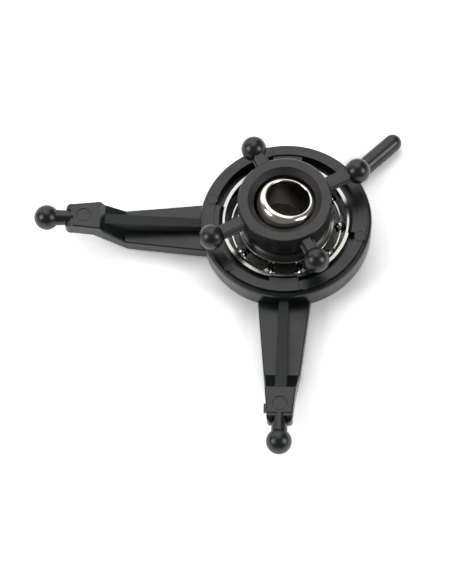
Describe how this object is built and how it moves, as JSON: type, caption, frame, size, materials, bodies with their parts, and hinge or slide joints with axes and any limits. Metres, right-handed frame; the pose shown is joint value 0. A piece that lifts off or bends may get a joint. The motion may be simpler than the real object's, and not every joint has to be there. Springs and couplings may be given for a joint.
{
  "type": "helicopter swashplate",
  "caption": "Small swashplate: moulded ring with two servo arms and a guide pin, ball bearing, and a turning star with four link balls on a tilting bored ball.",
  "frame": {"origin": "centre of the pivot ball, where the plate tilts and the star turns", "axes": "+Z along the ring's rotation axis towards the star's link arms; the servo arms point along -X and -Y and the guide pin half-way between +X and +Y"},
  "size_m": [0.0508, 0.0508, 0.0118],
  "materials": {
    "black_nylon": "semi-gloss black glass-filled nylon, as moulded",
    "race_steel": "ground and polished bearing steel",
    "cage_steel": "pressed bright steel strip",
    "rolling_steel": "polished bearing steel",
    "plated_ball": "nickel-plated steel, polished"
  },
  "bodies": {
    "root": {"lower_ring": "black_nylon", "outer_race": "race_steel"},
    "star": {"star": "black_nylon", "inner_race": "race_steel", "ball_retainer": "black_nylon"},
    "cage": {"bearing_cage": "cage_steel", "bearing_ball_01": "rolling_steel", "bearing_ball_02": "rolling_steel", "bearing_ball_03": "rolling_steel", "bearing_ball_04": "rolling_steel", "bearing_ball_05": "rolling_steel", "bearing_ball_06": "rolling_steel", "bearing_ball_07": "rolling_steel", "bearing_ball_08": "rolling_steel", "bearing_ball_09": "rolling_steel", "bearing_ball_10": "rolling_steel"},
    "ball": {"pivot_ball": "plated_ball"}
  },
  "joints": [
    {"name": "star_spin", "type": "hinge", "parent": "root", "child": "star", "pos_m": [0, 0, 0], "axis": [0, 0, 1], "continuous": true},
    {"name": "cage_orbit", "type": "hinge", "parent": "root", "child": "cage", "pos_m": [0, 0, -0.0051], "axis": [0, 0, 1], "continuous": true},
    {"name": "ball_tilt", "type": "hinge", "parent": "star", "child": "ball", "pos_m": [0, 0, 0], "axis": [-0.7071, 0.7071, 0], "range_deg": [-31, 1]}
  ],
  "couplings": [
    {"joint": "cage_orbit", "follows": "star_spin", "ratio": 0.44707}
  ]
}
